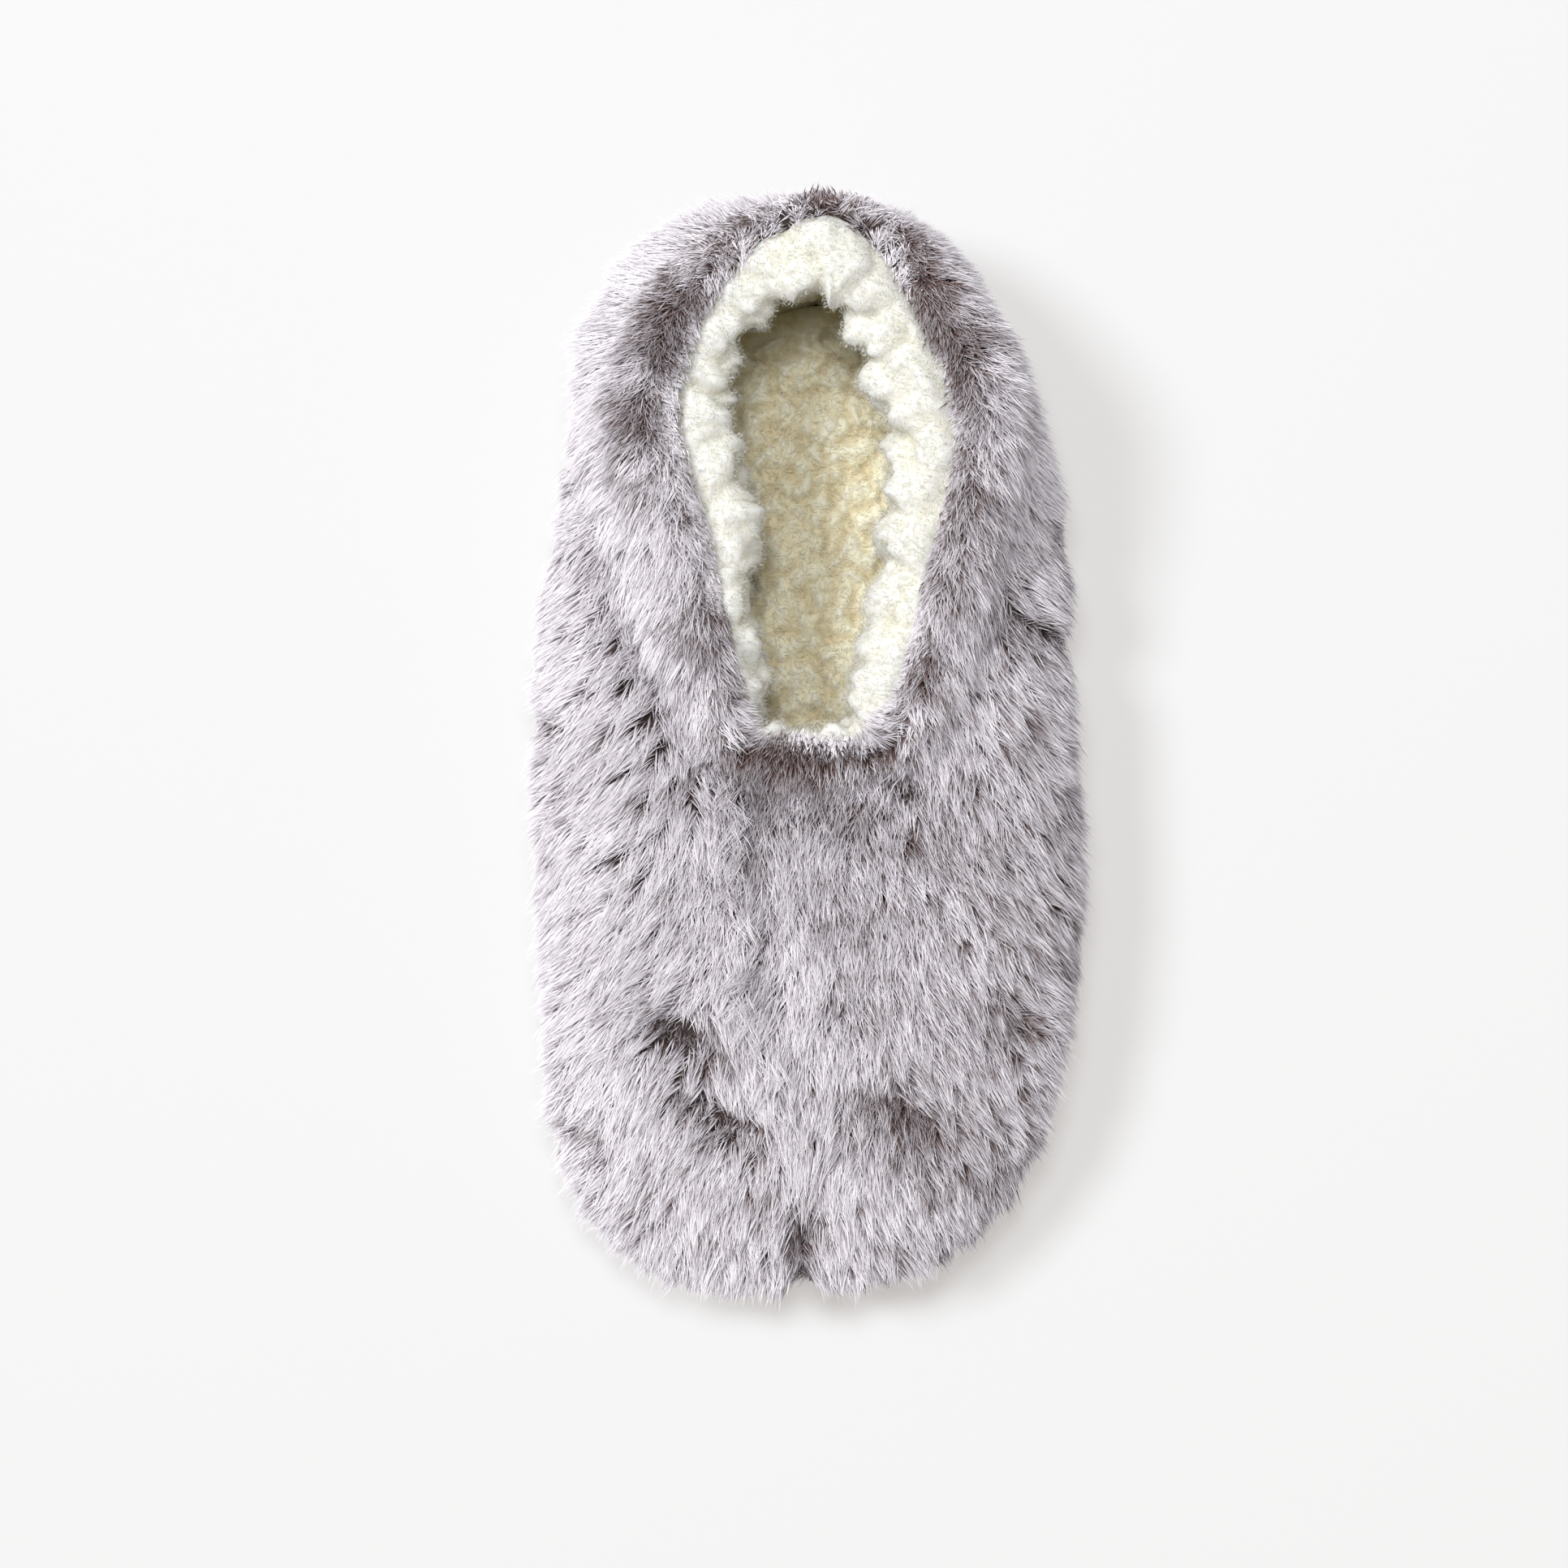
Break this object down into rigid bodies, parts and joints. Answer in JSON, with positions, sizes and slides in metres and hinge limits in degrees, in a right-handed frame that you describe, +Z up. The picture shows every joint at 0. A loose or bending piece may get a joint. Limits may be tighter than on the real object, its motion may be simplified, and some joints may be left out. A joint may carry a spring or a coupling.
{
  "type": "slipper sock",
  "caption": "Low slip-on house sock with a frosted grey fur upper, a rolled fur collar, a curly cream fleece lining and insole, and a flat soft cloth sole.",
  "frame": {"origin": "on the floor, under the middle of the slipper's box", "axes": "+Z up from the floor, +Y towards the heel, -Y towards the toe, +X towards the right of the picture"},
  "size_m": [0.1334, 0.261, 0.0651],
  "materials": {
    "sole_cloth": "matt woven sole cloth",
    "insole_fleece": "curly fleece, pressed flat",
    "lining_fleece": "curly cream fleece",
    "grey_fur": "long frosted fur, dark at the roots and pale at the tips"
  },
  "bodies": {
    "root": {"outsole": "sole_cloth", "insole": "insole_fleece", "lining": "lining_fleece", "upper": "grey_fur"}
  },
  "joints": []
}
